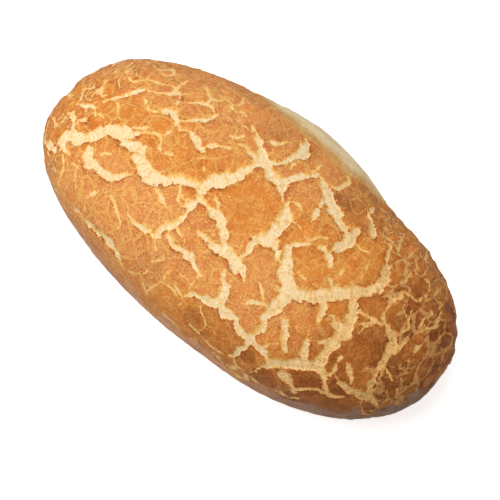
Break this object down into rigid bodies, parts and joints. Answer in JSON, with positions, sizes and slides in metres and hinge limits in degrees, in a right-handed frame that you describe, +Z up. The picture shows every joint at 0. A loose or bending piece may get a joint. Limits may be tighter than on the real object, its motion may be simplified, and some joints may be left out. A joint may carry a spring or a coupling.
{
  "type": "tiger bread loaf",
  "caption": "Whole oval loaf of white bread with a golden rice-paste crust torn into ragged plates over cream cracks, standing on its flat base.",
  "frame": {"origin": "centre of the loaf's box on the plane it stands on", "axes": "+X along the loaf, +Y across it towards the smooth pale side, +Z up"},
  "size_m": [0.286, 0.1524, 0.094],
  "materials": {
    "crust": "dry baked crust: golden-brown paste plates with cream cracks between them"
  },
  "bodies": {
    "root": {"loaf": "crust"}
  },
  "joints": []
}
